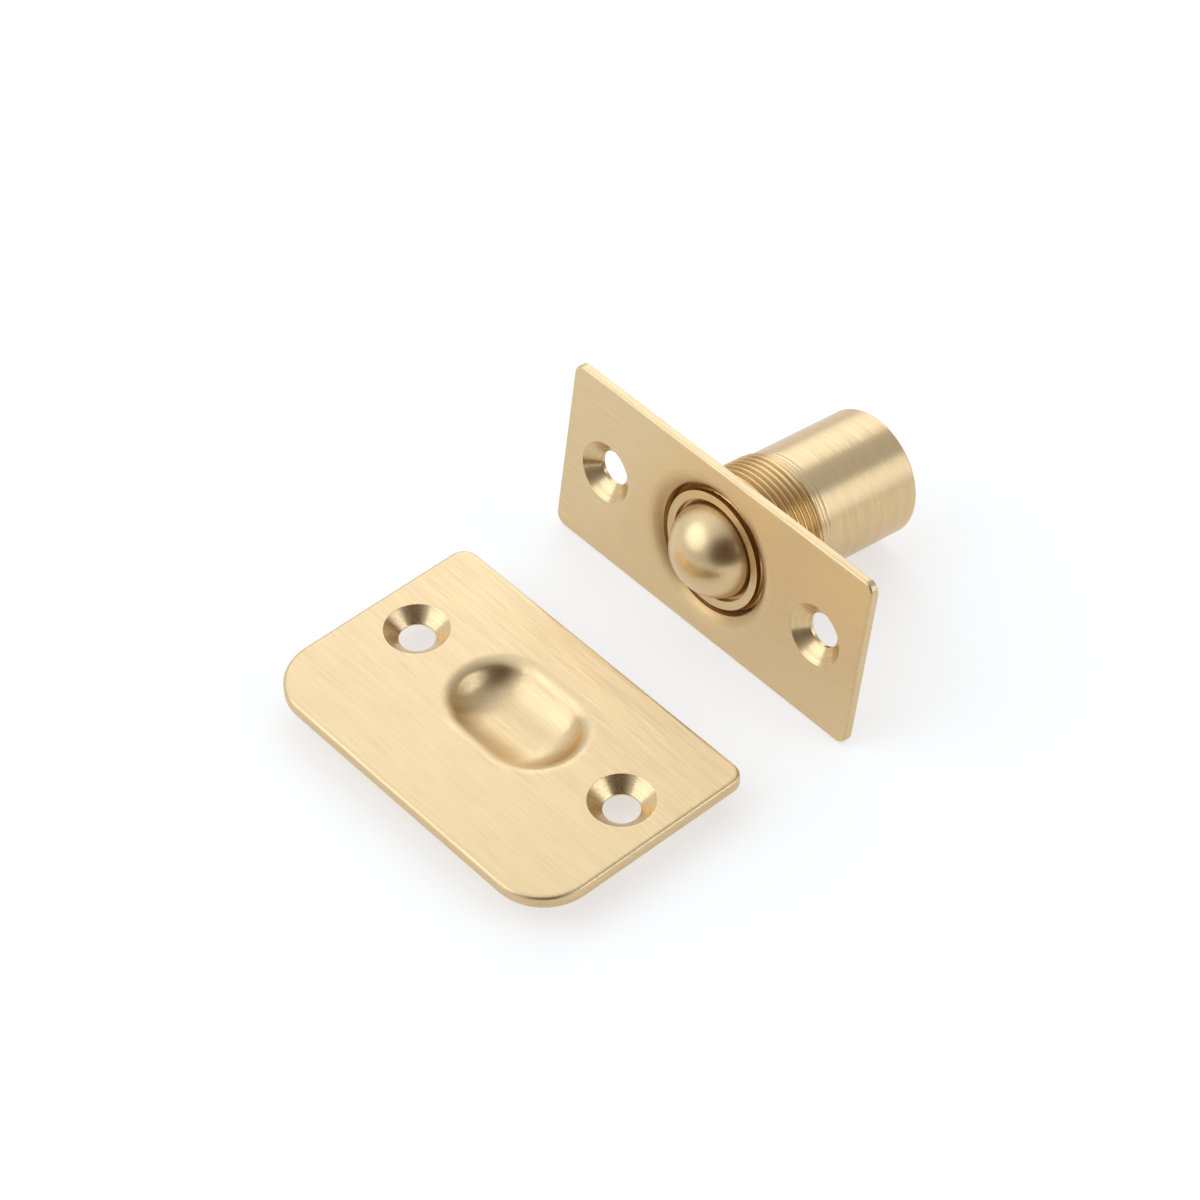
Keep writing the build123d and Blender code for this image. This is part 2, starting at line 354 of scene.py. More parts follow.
class Nodes:
    """A node tree with short ways to add and join nodes."""

    def __init__(self, tree: NodeTree) -> None:
        """Empties the tree."""
        self.tree = tree
        tree.nodes.clear()

    def add(self, kind: str, **settings: object) -> Node:
        """Adds a node.

        Args:
            kind: The node's type name.
            **settings: Properties that the node is given.

        Returns:
            The node.
        """
        node = self.tree.nodes.new(kind)
        for name, value in settings.items():
            setattr(node, name, value)
        return node

    def put(self, node: Node, name: str | int, value: object) -> None:
        """Gives a node's input a value, or joins it to another node's output."""
        if isinstance(value, NodeSocket):
            self.tree.links.new(value, node.inputs[name])
        else:
            node.inputs[name].default_value = value

    def end(self, kind: str, shader: NodeSocket) -> None:
        """Joins the last shader to an output node."""
        self.put(self.add(kind), "Surface", shader)

    def math(self, operation: str, first: object, second: object = 0.0) -> NodeSocket:
        """Adds a Math node and returns its output."""
        node = self.add("ShaderNodeMath", operation=operation)
        self.put(node, 0, first)
        self.put(node, 1, second)
        return node.outputs[0]

    def radius(self, x: NodeSocket, y: NodeSocket) -> NodeSocket:
        """The distance from the axis."""
        squares = (self.math("MULTIPLY", part, part) for part in (x, y))
        return self.math("SQRT", self.math("ADD", *squares))

    def vector(self, x: object = 0.0, y: object = 0.0, z: object = 0.0) -> NodeSocket:
        """A vector made of its three parts."""
        node = self.add("ShaderNodeCombineXYZ")
        for number, part in enumerate((x, y, z)):
            self.put(node, number, part)
        return node.outputs[0]

    def scaled(self, vector: object, scale: Triple) -> NodeSocket:
        """A vector multiplied along each axis."""
        node = self.add("ShaderNodeVectorMath", operation="MULTIPLY")
        self.put(node, 0, vector)
        self.put(node, 1, scale)
        return node.outputs[0]

    def noise(self, vector: object, detail: float, w: object = 0.0) -> NodeSocket:
        """Four-dimensional noise at a scale of 1, from 0 to 1."""
        node = self.add("ShaderNodeTexNoise", noise_dimensions="4D")
        self.put(node, "Vector", vector)
        self.put(node, "W", w)
        self.put(node, "Scale", 1.0)
        self.put(node, "Detail", detail)
        return node.outputs["Fac"]

    def spread(self, value: object, low: float, high: float, to: Pair) -> NodeSocket:
        """A value's range from low to high, mapped and clamped to another range."""
        node = self.add("ShaderNodeMapRange", clamp=True)
        names = ("Value", "From Min", "From Max", "To Min", "To Max")
        for name, number in zip(names, (value, low, high, *to)):
            self.put(node, name, number)
        return node.outputs["Result"]

    def blend(self, share: NodeSocket, first: object, second: object) -> NodeSocket:
        """A mix of two colours, which is the second one where the share is 1."""
        node = self.add("ShaderNodeMix", data_type="RGBA", blend_type="MIX")
        self.put(node, "Factor", share)
        first_colour_input = 6
        for number, colour in enumerate((first, second), first_colour_input):
            self.put(node, number, colour if isinstance(colour, NodeSocket) else (*colour, 1.0))
        return node.outputs[2]

    def local(self, place: Matrix) -> NodeSocket:
        """Object coordinates in millimetres, in the frame of a placed piece."""
        where = self.add("ShaderNodeTexCoord").outputs["Object"]
        mapping = self.add("ShaderNodeMapping", vector_type="TEXTURE")
        self.put(mapping, "Vector", where)
        self.put(mapping, "Location", place.translation)
        self.put(mapping, "Rotation", place.to_euler())
        self.put(mapping, "Scale", (MM, MM, MM))
        return mapping.outputs["Vector"]


@dataclass(frozen=True)
class Marks:
    """The marks that a tool leaves.

    Attributes:
        way: How they run, in words that tell the two kinds of rings apart.
        fine: Fine marks in a millimetre along each axis.
        fine_detail: How far the fine marks break up.
        broad: Broad marks in a millimetre along each axis.
        broad_detail: How far the broad marks break up.
    """

    way: str
    fine: Triple
    fine_detail: float
    broad: Triple
    broad_detail: float


RINGS = Marks("rings round the piece's own Z axis", (8.0, 8.0, 8.0), 2.0, (1.4, 1.4, 1.4), 3.0)


class Grain(Enum):
    """The kinds of marks. Those in rings are drawn over radius, height and a slow drift."""

    ALONG = Marks("streaks along X", (0.18, 6.5, 6.5), 1.0, (0.06, 2.4, 2.4), 2.0)
    ROUND_AXIS = RINGS
    ROUND_HOLES = replace(RINGS, way="rings round the two screw holes")
    TUMBLED = Marks("fine marks with no direction", (6.0, 6.0, 6.0), 3.0, (0.5, 0.5, 0.5), 2.0)


@dataclass(frozen=True)
class MetalFinish:
    """A metal surface with its tool marks.

    Attributes:
        name: The material's name.
        colour: Reflected colour where the surface faces the eye.
        roughness: Lowest and highest roughness.
        grain: The kind of the marks.
        relief: Depth of the marks in millimetres.
        shade: How much the marks darken the colour, from 0 to 1.
        stretch: How far mirrored light is drawn out across the marks, from 0 to 1.
        hole_spacing: Distance between the screw holes, for rings round them.
        painted_shade: Colour painted as shade in a thread's valleys, a gap, or a bore and round it.
        shade_radii: Radii up to which the painted shade is full and at which it ends, or two zeros for
            none.
        ring_drift: How fast rings change from one side of the axis to the other.
        fine_share: The fine marks' share of the marks, whose rest is broad.
        dark_marks: How high the marks are where they are darkest and where they are clean.
        dull_marks: How high they are where the surface is roughest and where it is smoothest.
    """

    name: str
    colour: Triple
    roughness: Pair
    grain: Grain
    relief: float
    shade: float
    stretch: float = 0.0
    hole_spacing: float = 0.0
    painted_shade: Triple = (0.0, 0.0, 0.0)
    shade_radii: Pair = (0.0, 0.0)
    ring_drift: Pair = (0.02, 0.18)
    fine_share: float = 0.8
    dark_marks: Pair = (0.3, 0.62)
    dull_marks: Pair = (0.35, 0.65)

    def axes(self, nodes: Nodes, where: NodeSocket) -> tuple[NodeSocket, ...]:
        """The coordinates from the axis that the marks run round."""
        parts = nodes.add("ShaderNodeSeparateXYZ")
        nodes.put(parts, 0, where)
        x, y, z = parts.outputs
        if self.grain is Grain.ROUND_HOLES:
            side = nodes.math("MULTIPLY", nodes.math("SIGN", x), self.hole_spacing / 2.0)
            x = nodes.math("SUBTRACT", x, side)
        return x, y, z

    def marks(self, nodes: Nodes, where: NodeSocket) -> NodeSocket:
        """Draws the tool marks.

        Args:
            nodes: The material's nodes.
            where: Coordinates in millimetres in the piece's frame.

        Returns:
            The height of the marks, from 0 to 1.
        """
        slow = 0.0
        if self.grain in (Grain.ROUND_AXIS, Grain.ROUND_HOLES):
            x, y, z = self.axes(nodes, where)
            drift, slow = (nodes.math("MULTIPLY", *pair) for pair in zip((x, y), self.ring_drift))
            where = nodes.vector(nodes.radius(x, y), z, drift)
        marks = self.grain.value
        fine = nodes.noise(nodes.scaled(where, marks.fine), marks.fine_detail, slow)
        broad = nodes.noise(nodes.scaled(where, marks.broad), marks.broad_detail, slow)
        fine_part = nodes.math("MULTIPLY", fine, self.fine_share)
        return nodes.math("ADD", fine_part, nodes.math("MULTIPLY", broad, 1.0 - self.fine_share))

    def across(self, nodes: Nodes, where: NodeSocket, place: Matrix) -> NodeSocket:
        """The way across the marks, within the surface.

        Args:
            nodes: The material's nodes.
            where: Coordinates in millimetres in the piece's frame.
            place: Where that frame lies.

        Returns:
            The direction in the world.
        """
        if self.grain is Grain.ALONG:
            along = nodes.vector(1.0)
        else:
            x, y, _z = self.axes(nodes, where)
            along = nodes.vector(nodes.math("MULTIPLY", y, -1.0), x)
        turned = nodes.add("ShaderNodeMapping", vector_type="NORMAL")
        nodes.put(turned, "Vector", along)
        nodes.put(turned, "Rotation", place.to_euler())
        world = nodes.add(
            "ShaderNodeVectorTransform", vector_type="VECTOR", convert_from="OBJECT", convert_to="WORLD"
        )
        nodes.put(world, 0, turned.outputs[0])
        over = nodes.add("ShaderNodeVectorMath", operation="CROSS_PRODUCT")
        nodes.put(over, 0, world.outputs[0])
        nodes.put(over, 1, nodes.add("ShaderNodeNewGeometry").outputs["Normal"])
        return over.outputs[0]

    def with_painted_shade(self, nodes: Nodes, where: NodeSocket, clean: NodeSocket) -> NodeSocket:
        """Paints shade over the clean colour in full up to the inner radius, and less and less to the
        outer one.

        Args:
            nodes: The material's nodes.
            where: Coordinates in millimetres in the piece's frame.
            clean: The clean colour.

        Returns:
            The colour.
        """
        if self.shade_radii[1] <= 0.0:
            return clean
        x, y, _z = self.axes(nodes, where)
        # Painted shade: darkest near the axis, fading out by the outer radius.
        share = nodes.spread(nodes.radius(x, y), *self.shade_radii, (0.0, 1.0))
        return nodes.blend(share, self.painted_shade, clean)

    def build(self, place: Matrix) -> Material:
        """Makes the material for a piece.

        Args:
            place: Where the piece's own frame lies in the row frame.

        Returns:
            The material.
        """
        material = bpy.data.materials.new(self.name)
        material.use_nodes = True
        nodes = Nodes(material.node_tree)
        where = nodes.local(place)
        marks = self.marks(nodes, where)
        metal = nodes.add("ShaderNodeBsdfPrincipled")
        nodes.put(metal, "Metallic", 1.0)
        if self.stretch > 0.0:
            nodes.put(metal, "Anisotropic", self.stretch)
            nodes.put(metal, "Tangent", self.across(nodes, where, place))
        dark = tuple(c * (1.0 - self.shade) for c in self.colour)
        clean = nodes.blend(nodes.spread(marks, *self.dark_marks, (0.0, 1.0)), dark, self.colour)
        # The base colour carries the painted shade, where a finish has any.
        nodes.put(metal, "Base Color", self.with_painted_shade(nodes, where, clean))
        smooth, rough = self.roughness
        nodes.put(metal, "Roughness", nodes.spread(marks, *self.dull_marks, (rough, smooth)))
        bump = nodes.add("ShaderNodeBump")
        nodes.put(bump, "Strength", 1.0)
        nodes.put(bump, "Distance", self.relief * MM)
        nodes.put(bump, "Height", marks)
        nodes.put(metal, "Normal", bump.outputs[0])
        nodes.end("ShaderNodeOutputMaterial", metal.outputs[0])
        return material


BRASS = (0.70, 0.525, 0.295)
TURNED_BRASS = (0.69, 0.51, 0.28)
# Painted shade colours: the first darkens the thread's valleys, the second the gap round the ball and the
# face plate's bore.
THREAD_SHADE_BRASS = (0.60, 0.41, 0.19)
PAINTED_SHADE_BRASS = (0.58, 0.39, 0.18)
SPRING_STEEL = (0.55, 0.55, 0.56)
BRUSHED = MetalFinish("brushed_strike", BRASS, (0.28, 0.39), Grain.ALONG, 0.003, 0.09, 0.85)
TURNED = MetalFinish("turned_barrel", TURNED_BRASS, (0.24, 0.36), Grain.ROUND_AXIS, 0.0025, 0.10, 0.8)


# Pieces


@dataclass(frozen=True)
class ScrewHole:
    """A countersunk screw hole, alike in both plates.

    Attributes:
        spacing: Distance between a plate's two holes.
        hole: Radius of the hole.
        rim: Radius of the countersink at the plate's front.
        slope: Half the countersink's angle in degrees.
        edge: Radius of the broken edges.
        back_edge: Radius of the hole's edge at the back.
    """

    spacing: float = 38.0
    hole: float = 2.33
    rim: float = 4.225
    slope: float = 50.0
    edge: float = 0.06
    back_edge: float = 0.05

    def draw(self, bm: BMesh, front: float, back: float, hold: float) -> Outline:
        """Draws the section from the front face through the hole to the back face.

        Args:
            bm: The mesh that the section is drawn in.
            front: Height of the plate's front face.
            back: Height of the face that the hole ends in.
            hold: How far from its ends the hole's wall holds its shading.

        Returns:
            The outline, which ends in the back face.
        """
        turn = 90.0 - self.slope
        lean = math.radians(self.slope)
        bottom = front - (self.rim - self.hole) / math.tan(lean)
        outline = Outline(bm, self.rim + self.edge * math.tan(math.radians(turn / 2.0)), front)
        outline.arc(outline.verts[-1].co.x, front - self.edge, turn, 3)
        run = self.edge * math.tan(lean / 2.0)
        outline.line(self.hole + run * math.sin(lean), bottom + run * math.cos(lean), hold=0.12)
        outline.arc(self.hole + self.edge, bottom - run, self.slope, 3)
        outline.line(self.hole, back + self.back_edge, hold)
        outline.arc(self.hole + self.back_edge, back + self.back_edge, 90.0, 2)
        return outline

    def places(self) -> list[Matrix]:
        """Where a plate's two holes lie."""
        return [Matrix.Translation((side * self.spacing, 0.0, 0.0)) for side in (-0.5, 0.5)]

    def finish(self, name: str) -> MetalFinish:
        """The turned marks in the countersinks."""
        roughness, relief, shade, stretch = (0.20, 0.34), 0.004, 0.14, 0.7
        rings = Grain.ROUND_HOLES
        return MetalFinish(name, TURNED_BRASS, roughness, rings, relief, shade, stretch, self.spacing)


@dataclass
class Piece:
    """What every piece has.

    Attributes:
        name: The piece's name in the scene.
        node: The CAD node that it stands for.
        body: The CAD body that it rides on.
        slot: The record's material slot; not used.
        place: Where its own frame lies, in metres.
    """

    name: str
    node: str
    body: str
    slot: str
    place: Matrix

    def mesh(self) -> BMesh:
        """Builds the piece in its own frame, in millimetres."""
        raise NotImplementedError

    def finishes(self) -> list[MetalFinish]:
        """The piece's finishes, in the order of its faces' material numbers."""
        raise NotImplementedError

    def make(self) -> Object:
        """Builds, places and dresses the piece.

        Returns:
            The piece's object, at the origin with its place in its mesh.
        """
        bm = self.mesh()
        bmesh.ops.remove_doubles(bm, verts=bm.verts, dist=WELD)
        bmesh.ops.recalc_face_normals(bm, faces=bm.faces)
        for edge in bm.edges:
            edge.smooth = not edge.is_manifold or edge.calc_face_angle(0.0) < SHARP_ANGLE
        for face in bm.faces:
            face.smooth = True
        open_edges = sum(not e.is_manifold for e in bm.edges)
        bmesh.ops.transform(bm, matrix=self.place @ Matrix.Scale(MM, 4), verts=bm.verts)
        data = to_data(self.name, bm)
        for finish in self.finishes():
            data.materials.append(finish.build(self.place))
        obj = new_object(self.name, data)
        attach(obj, self.body)
        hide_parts(self.node)
        LOG.info("%s: %d faces, %d open edges", self.name, len(data.polygons), open_edges)
        return obj


@dataclass
class StrikePlate(Piece):
    """Flat plate with two large corners and an obround hollow pressed into it.

    Attributes:
        length: Size along X.
        width: Size along Y.
        back: Height of the sheet's back, above the foot of the hollow.
        front: Height of the sheet's front.
        lead_corner: Radius of the two corners that meet the ball first.
        back_corner: Radius of the other two corners.
        edges: Radius of the edge at the back and at the front.
        hole_line: How far the holes' line lies from the middle.
        rim: Radius of the hollow's ends at the sheet's front.
        straight: Length of the hollow's straight middle.
        depth: Depth of the hollow.
        flat: Half the width of its flat floor.
        foot_root: Radius of the bend at the back, where the foot leaves the sheet.
        holes: The screw holes.
    """

    length: float = 52.15
    width: float = 33.3
    back: float = 3.35
    front: float = 5.15
    lead_corner: float = 7.2
    back_corner: float = 2.2
    edges: Pair = (0.3, 0.5)
    hole_line: float = 2.7
    rim: float = 7.7
    straight: float = 6.2
    depth: float = 3.35
    flat: float = 0.5
    foot_root: float = 0.9
    holes: ScrewHole = ScrewHole()

    def corner(self, where: Vector) -> float:
        """The radius of the corner at a place."""
        return self.lead_corner if where.y < 0.0 else self.back_corner

    def pressed_wall(self, top: float, lip: float, lip_steps: int) -> BMesh:
        """Makes one side of the hollow's wall and bowl.

        Args:
            top: Height at which the wall leaves the sheet.
            lip: Radius of the bend there.
            lip_steps: How many straight runs make that bend.

        Returns:
            The obround form, open at the sheet.
        """
        turn = 2.0 * math.atan(self.depth / (self.rim - self.flat))
        bowl = self.depth / (1.0 - math.cos(turn)) - lip
        part = bmesh.new()
        outline = Outline(part, self.flat, top - self.depth)
        outline.arc(self.flat, top - self.depth + bowl, math.degrees(turn), 18)
        outline.arc(self.rim, top - lip, -math.degrees(turn), lip_steps)
        outline.spin_obround(self.straight)
        bmesh.ops.contextual_create(part, geom=boundary_at(part, top - self.depth))
        return part

    def mesh(self) -> BMesh:
        """Builds the plate: rim, hollow, foot and screw holes, then the flat faces between them."""
        bm = rounded_blank(self.length, self.width, self.back, self.front, self.corner, self.edges)
        line = Matrix.Translation((0.0, self.hole_line, 0.0))
        front_lip = self.foot_root + self.front - self.back
        join_into(bm, self.pressed_wall(self.front, front_lip, 14), line)
        join_into(bm, self.pressed_wall(self.back, self.foot_root, 8), line)
        for place in self.holes.places():
            part = bmesh.new()
            self.holes.draw(part, self.front, self.back, hold=0.02).spin_round(HOLE_STEPS, 1)
            join_into(bm, part, line @ place)
        fill_sheet(bm, self.front)
        fill_sheet(bm, self.back)
        return bm

    def finishes(self) -> list[MetalFinish]:
        """Brushed sheet, and turned marks in the countersinks."""
        return [BRUSHED, self.holes.finish("cut_strike_holes")]


@dataclass
class FacePlate(Piece):
    """Thin plate with a collar drawn back out of it for the barrel, and two pressed countersinks.

    Attributes:
        length: Size along X.
        height: Size along Y.
        thickness: Thickness of the sheet.
        corner_radius: Radius of the corners.
        edges: Radius of the edge at the back and at the front.
        bore: Radius of the collar's bore.
        collar: Outer radius of the collar.
        dish_width: Width of the dished way from the front into the bore.
        dish_bend: Radius of the dish's bend.
        mouth: Radius of the bore's broken edge.
        collar_depth: How deep the collar reaches.
        bore_edge: Radius of the bore's edge behind.
        collar_edge: Radius of the collar's outer edge behind.
        bend: Radius where the collar leaves the back.
        seat_depth: How deep the pressed screw seats reach.
        seat_wall: Their wall's thickness.
        shade_reach: How far out of the bore the faces with the painted-shade bore finish reach.
        painted_shade: How far out of the bore the sheet's painted shade is full and where it ends.
        holes: The screw holes.
    """

    length: float = 53.2
    height: float = 25.5
    thickness: float = 1.15
    corner_radius: float = 1.6
    edges: Pair = (0.08, 0.35)
    bore: float = 8.905
    collar: float = 9.805
    dish_width: float = 2.3
    dish_bend: float = 3.5
    mouth: float = 0.12
    collar_depth: float = 3.6
    bore_edge: float = 0.06
    collar_edge: float = 0.1
    bend: float = 0.6
    seat_depth: float = 2.1
    seat_wall: float = 0.9
    shade_reach: float = 0.25
    painted_shade: Pair = (0.3, 1.5)
    holes: ScrewHole = ScrewHole()

    def corner(self, _where: Vector) -> float:
        """The radius of every corner."""
        return self.corner_radius

    def collar_mesh(self) -> BMesh:
        """The drawn collar, open at the sheet's front and back."""
        part = bmesh.new()
        rim = self.bore + self.dish_width
        reach, run = self.dish_width - self.mouth, self.dish_bend - self.mouth
        turn = math.degrees(math.asin(reach / run))
        foot = math.sqrt(run**2 - reach**2) - self.dish_bend
        end, outside = -self.collar_depth, self.collar - self.collar_edge
        outline = Outline(part, rim, 0.0)
        outline.arc(rim, -self.dish_bend, turn, 16)
        outline.arc(self.bore + self.mouth, foot, 90.0 - turn, 5)
        outline.line(self.bore, end + self.bore_edge, hold=0.1)
        outline.arc(self.bore + self.bore_edge, end + self.bore_edge, 90.0, 3)
        outline.line(outside, end, hold=0.05)
        outline.arc(outside, end + self.collar_edge, 90.0, 3)
        outline.line(self.collar, -self.thickness - self.bend, hold=0.1)
        outline.arc(self.collar + self.bend, -self.thickness - self.bend, -90.0, 4)
        outline.spin_round(ROUND_STEPS)
        # Faces in and just round the bore take the painted-shade material.
        for face in part.faces:
            if face.calc_center_median().xy.length < self.bore + self.shade_reach:
                face.material_index = 2
        return part

    def seat_mesh(self) -> BMesh:
        """One pressed screw seat, from its rim in front to its root behind."""
        part = bmesh.new()
        lean = math.radians(self.holes.slope)
        outside = self.holes.rim + self.seat_wall / math.cos(lean)
        outline = self.holes.draw(part, 0.0, -self.seat_depth, hold=0.05)
        outline.lines(
            (outside - self.seat_depth * math.tan(lean), -self.seat_depth, 0.05),
            (outside - self.thickness * math.tan(lean), -self.thickness, 0.1),
        )
        outline.spin_round(HOLE_STEPS, 1)
        return part

    def mesh(self) -> BMesh:
        """Builds the plate: rim, collar and screw seats, then the flat faces between them."""
        bm = rounded_blank(self.length, self.height, -self.thickness, 0.0, self.corner, self.edges)
        join_into(bm, self.collar_mesh(), Matrix())
        for place in self.holes.places():
            join_into(bm, self.seat_mesh(), place)
        fill_sheet(bm, 0.0)
        fill_sheet(bm, -self.thickness)
        return bm

    def finishes(self) -> list[MetalFinish]:
        """Brushed sheet with painted shade round the bore, turned marks in the countersinks, and a bore
        painted dark as shade.
        """
        # The sheet round the bore is darkened as painted shade, full up to the first reach and fading by
        # the second.
        shade_radii = tuple(self.bore + reach for reach in self.painted_shade)
        return [
            replace(BRUSHED, name="brushed_face", painted_shade=PAINTED_SHADE_BRASS, shade_radii=shade_radii),
            self.holes.finish("cut_face_holes"),
            # Painted shade: the bore's own finish is darker brass.
            MetalFinish("painted_shade_bore", PAINTED_SHADE_BRASS, (0.35, 0.5), Grain.ROUND_AXIS, 0.003, 0.1),
        ]


@dataclass
class Barrel(Piece):
    """Turned barrel: a screwed nose with the lip that holds the ball, and a plain body.

    Attributes:
        crest: Radius of the thread's crest.
        root: Radius of the thread's root.
        pitch: Distance from one crest to the next.
        crest_flat: Width of the crest.
        flank: Slope of the thread's sides in degrees.
        thread_edge: Radius of the thread's edges.
        start: Depth of the nose's front face.
        face_radius: Radius of the front face and of the neck behind it.
        neck_end: Depth at which the neck ends.
        chamfer_depth: Depth at which the chamfer behind it reaches the thread's root.
        run_in: Depth at which the thread begins.
        run_in_rise: How fast its crest rises there.
        phase: Where the thread starts, in degrees from X towards Y.
        thread_end: Depth at which the last crest begins to fall.
        fall: Depth from there to the plain body.
        join: Depth at which the thread's mesh meets the plain body's.
        front_ring: Width of the flat ring that closes the thread's mesh in front.
        back_ring: Width of the one that closes it at the join.
        back_slope: Length of the slope from there up to the plain body.
        painted_shade: How far above the root the painted shade in the valleys is full, and how far below
            the crest it ends.
        plain: Radius of the plain body.
        scribed: Depths of the two scribed lines.
        line_half: Half the width of such a line.
        line_depth: How deep it is cut.
        rear: Depth of the rear end.
        rear_edge: How far the rounding of its outer edge reaches inwards and along.
        counterbore: Radius of the counterbore for the plug.
        plug_chamfer: Width of the counterbore's chamfer.
        bore: Radius of the bore.
        lip: Radius of the lip that holds the ball.
        lip_depths: Depths at which the bore ends, the lip begins and ends, and the gap begins.
        gap: Radius of the gap round the ball in front of the lip.
        gap_edge: Width of the broken edge round the gap.
        shade_reach: Radii between which the painted shade in the gap round the ball ends.
    """

    crest: float = 8.825
    root: float = 8.25
    pitch: float = 0.95
    crest_flat: float = 0.12
    flank: float = 30.0
    thread_edge: float = 0.045
    start: float = 0.65
    face_radius: float = 8.0
    neck_end: float = 1.35
    chamfer_depth: float = 1.65
    run_in: float = 1.7
    run_in_rise: float = 2.0
    phase: float = 35.0
    thread_end: float = 11.4
    fall: float = 0.45
    join: float = BARREL_STEP
    front_ring: float = 0.1
    back_ring: float = 0.04
    back_slope: float = 0.06
    painted_shade: Pair = (0.12, 0.1)
    plain: float = 8.5
    scribed: Pair = (12.3, 13.0)
    line_half: float = 0.05
    line_depth: float = 0.035
    rear: float = 28.2
    rear_edge: Pair = (0.25, 0.35)
    counterbore: float = 7.2
    plug_chamfer: float = 0.2
    bore: float = 6.65
    lip: float = 6.485
    lip_depths: tuple[float, float, float, float] = (1.76, 1.6, 1.55, 1.49)
    gap: float = 6.85
    gap_edge: float = 0.04
    shade_reach: Pair = (6.82, 6.86)

    def limits(self, depth: float) -> Pair:
        """The lowest and highest radius that the turned blank leaves the thread.

        Args:
            depth: How deep behind the face plate's front.

        Returns:
            The two radii.
        """
        slope = (self.root - self.face_radius) / (self.chamfer_depth - self.neck_end)
        high = min(self.root, self.face_radius + slope * max(0.0, depth - self.neck_end))
        high = min(self.crest, high + self.run_in_rise * max(0.0, depth - self.run_in))
        out = min(1.0, max(0.0, (depth - self.thread_end) / self.fall))
        low = self.root + (self.plain - self.root) * out if out > 0.0 else 0.0
        high = min(high, self.crest + (self.plain - self.crest) * out)
        return low, high

    def thread_section(self, part: BMesh) -> None:
        """Draws one pitch of the thread's section, with rounded edges."""
        rise = self.crest - self.root
        flank = rise * math.tan(math.radians(self.flank))
        foot = (self.pitch - self.crest_flat - 2.0 * flank) / 2.0
        outline = Outline(part, self.root, 0.0)
        outline.lines(
            (self.root, foot),
            (self.root + rise / 2.0, foot + flank / 2.0),
            (self.crest, foot + flank),
            (self.crest, foot + flank + self.crest_flat),
            (self.root + rise / 2.0, self.pitch - foot - flank / 2.0),
            (self.root, self.pitch - foot),
            (self.root, self.pitch),
        )
        corners = [outline.verts[number] for number in (1, 3, 4, 6)]
        soften(part, corners, self.thread_edge, 2, "VERTICES")

    def thread_mesh(self) -> BMesh:
        """The thread: one pitch's section, screwed along the nose and cut off at both ends."""
        part = bmesh.new()
        self.thread_section(part)
        low = -self.join - 1.5 * self.pitch
        place = Matrix.Translation((0.0, 0.0, low)) @ Matrix.Rotation(math.radians(self.phase), 4, "Z")
        bmesh.ops.transform(part, matrix=place, verts=part.verts)
        section = [*part.verts, *part.edges]
        spin(part, section, math.tau, ROUND_STEPS, rise=self.pitch / ROUND_STEPS)
        one_turn = [*part.verts, *part.edges, *part.faces]
        for count in range(1, math.ceil((self.join - self.start) / self.pitch) + 3):
            copied = bmesh.ops.duplicate(part, geom=one_turn)["geom"]
            lift = (0.0, 0.0, count * self.pitch)
            bmesh.ops.translate(part, vec=lift, verts=picked(copied, BMVert))
        bmesh.ops.remove_doubles(part, verts=part.verts, dist=WELD)
        for depth in (self.neck_end, self.chamfer_depth, self.run_in):
            slice_at(part, -depth)
        for vert in part.verts:
            radius = math.hypot(vert.co.x, vert.co.y)
            least, most = self.limits(-vert.co.z)
            share = min(most, max(least, radius)) / radius
            vert.co.x *= share
            vert.co.y *= share
        ends = ((-self.start, 1.0, self.face_radius), (-self.join, -1.0, self.plain))
        for height, outwards, radius in ends:
            slice_at(part, height, outwards)
            for vert in {v for e in boundary_at(part, height) for v in e.verts}:
                vert.co.xy = vert.co.xy.normalized() * radius
        for face in part.faces:
            face.material_index = int(face.calc_center_median().z > -self.thread_end)
        return part

    def shell_mesh(self) -> BMesh:
        """The rest of the barrel: body, rear, bore and the lip round the ball."""
        part = bmesh.new()
        outline = Outline(part, self.plain - self.back_ring, -self.join)
        outline.line(self.plain, -self.join - self.back_slope)
        for depth in self.scribed:
            outline.lines(
                (self.plain, -depth + self.line_half),
                (self.plain - self.line_depth, -depth),
                (self.plain, -depth - self.line_half),
            )
        inwards, along = self.rear_edge
        centre = (inwards + along) / 2.0
        outline.line(self.plain, -self.rear + along, hold=0.15)
        outline.arc(self.plain - centre, -self.rear + centre, -90.0, 6)
        bore_end, lip_begin, lip_end, gap_begin = self.lip_depths
        outline.lines(
            (self.counterbore + self.plug_chamfer, -self.rear, 0.08),
            (self.counterbore, -self.rear + self.plug_chamfer),
            (self.counterbore, -PLUG_FRONT, 0.1),
            (self.bore, -PLUG_FRONT, 0.05),
            (self.bore, -bore_end, 0.2),
            (self.lip, -lip_begin, 0.05),
            (self.lip, -lip_end),
            (self.gap, -gap_begin, 0.05),
            (self.gap, -self.start - self.gap_edge, 0.05),
            (self.gap + self.gap_edge, -self.start),
            (self.face_radius - self.front_ring, -self.start, 0.08),
        )
        outline.spin_round(ROUND_STEPS)
        return part

    def mesh(self) -> BMesh:
        """Builds the barrel and closes the narrow flat rings at both ends of the thread."""
        bm = self.thread_mesh()
        join_into(bm, self.shell_mesh(), Matrix())
        for height in (-self.start, -self.join):
            bmesh.ops.triangle_fill(bm, use_beauty=True, edges=boundary_at(bm, height), normal=Z_AXIS)
        return bm

    def finishes(self) -> list[MetalFinish]:
        """Turned brass with painted shade in the gap round the ball, and thread with painted shade in its
        valleys.
        """
